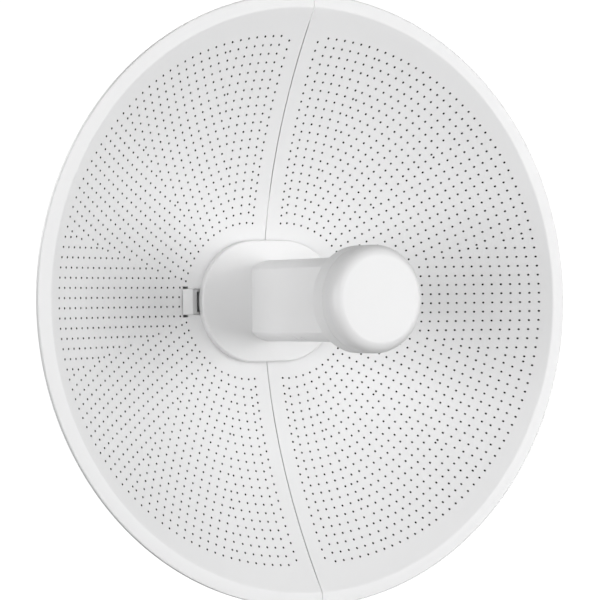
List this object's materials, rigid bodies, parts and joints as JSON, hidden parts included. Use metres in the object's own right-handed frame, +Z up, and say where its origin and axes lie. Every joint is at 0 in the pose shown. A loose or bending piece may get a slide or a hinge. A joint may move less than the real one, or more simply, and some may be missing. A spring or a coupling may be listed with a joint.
{
  "type": "outdoor wireless bridge",
  "caption": "Pole-mounted outdoor wireless bridge with a perforated split dish reflector, a plug-in feed module and a tilting hub.",
  "frame": {"origin": "on the pole's axis, at the height of the dish's axis and the tilt axis", "axes": "+Z up along the pole; the dish looks along -Y; +X to the right seen from the front"},
  "size_m": [0.38, 0.304, 0.38],
  "materials": {
    "reflector": "satin white paint on perforated sheet",
    "housing": "fine satin moulded white plastic",
    "cap": "smooth satin white plastic",
    "hub": "fine textured white plastic",
    "rubber": "matt black rubber",
    "board": "green solder mask",
    "tin": "tinned steel",
    "black_plastic": "moulded black plastic",
    "brass": "plain brass",
    "aluminium": "plain aluminium",
    "insulator": "natural plastic",
    "button": "grey plastic",
    "spring_steel": "bright spring steel",
    "clear": "clear plastic",
    "casting": "pale grey powder coat on an aluminium casting",
    "steel": "zinc plated steel"
  },
  "bodies": {
    "bracket": {"pole_bracket": "casting", "tilt_bolt": "steel", "tilt_nut": "steel", "tilt_washers": "steel", "lock_bolt": "steel", "lock_nut": "steel", "lock_washers": "steel", "clamp_bolts": "steel", "earth_screw": "brass", "earth_washer": "brass"},
    "antenna": {"reflector_left": "reflector", "reflector_right": "reflector", "seam_screws": "steel", "seam_nuts": "steel", "reflector_studs": "steel", "stud_nuts": "steel", "feed_body": "housing", "feed_cap": "cap", "cap_seal": "rubber", "feed_board": "board", "shield_cans": "tin", "line_transformer": "black_plastic", "lan_jack": "tin", "antenna_plate": "board", "antenna_posts": "brass", "subreflector": "aluminium", "subreflector_post": "insulator", "feed_back_plate": "housing", "back_gasket": "rubber", "back_screws": "steel", "latch_spring_right": "spring_steel", "latch_spring_left": "spring_steel", "hub_frame": "hub", "hub_cover": "hub", "hub_cover_screws": "steel", "light_guide": "clear", "cover_pin": "steel", "mount_plate": "casting", "mount_bolts": "steel", "mount_nuts": "steel"},
    "jaw": {"clamp_jaw": "casting", "clamp_washers": "steel", "clamp_nuts": "steel"},
    "latch_left": {"latch_left": "housing"},
    "latch_right": {"latch_right": "housing"},
    "reset": {"reset_button": "button"},
    "port_cover": {"port_cover": "hub", "port_seal": "rubber"}
  },
  "joints": [
    {"name": "tilt", "type": "hinge", "parent": "bracket", "child": "antenna", "pos_m": [0, -0.06, 0], "axis": [1, 0, 0], "range_deg": [-20, 20]},
    {"name": "clamp_slide", "type": "slide", "parent": "bracket", "child": "jaw", "axis": [0, 1, 0], "range_m": [0, 0.02]},
    {"name": "latch_left_slide", "type": "slide", "parent": "antenna", "child": "latch_left", "axis": [-1, 0, 0], "range_m": [0, 0.0016], "stiffness_N_per_m": 1500, "springref_m": -0.002, "deforming": ["latch_spring_left"]},
    {"name": "latch_right_slide", "type": "slide", "parent": "antenna", "child": "latch_right", "axis": [1, 0, 0], "range_m": [0, 0.0016], "stiffness_N_per_m": 1500, "springref_m": -0.002, "deforming": ["latch_spring_right"]},
    {"name": "reset_press", "type": "slide", "parent": "antenna", "child": "reset", "axis": [0, 0, 1], "range_m": [0, 0.0008], "stiffness_N_per_m": 900, "springref_m": -0.0006},
    {"name": "port_cover_hinge", "type": "hinge", "parent": "antenna", "child": "port_cover", "pos_m": [0, -0.089, -0.05], "axis": [1, 0, 0], "range_deg": [0, 110]}
  ]
}
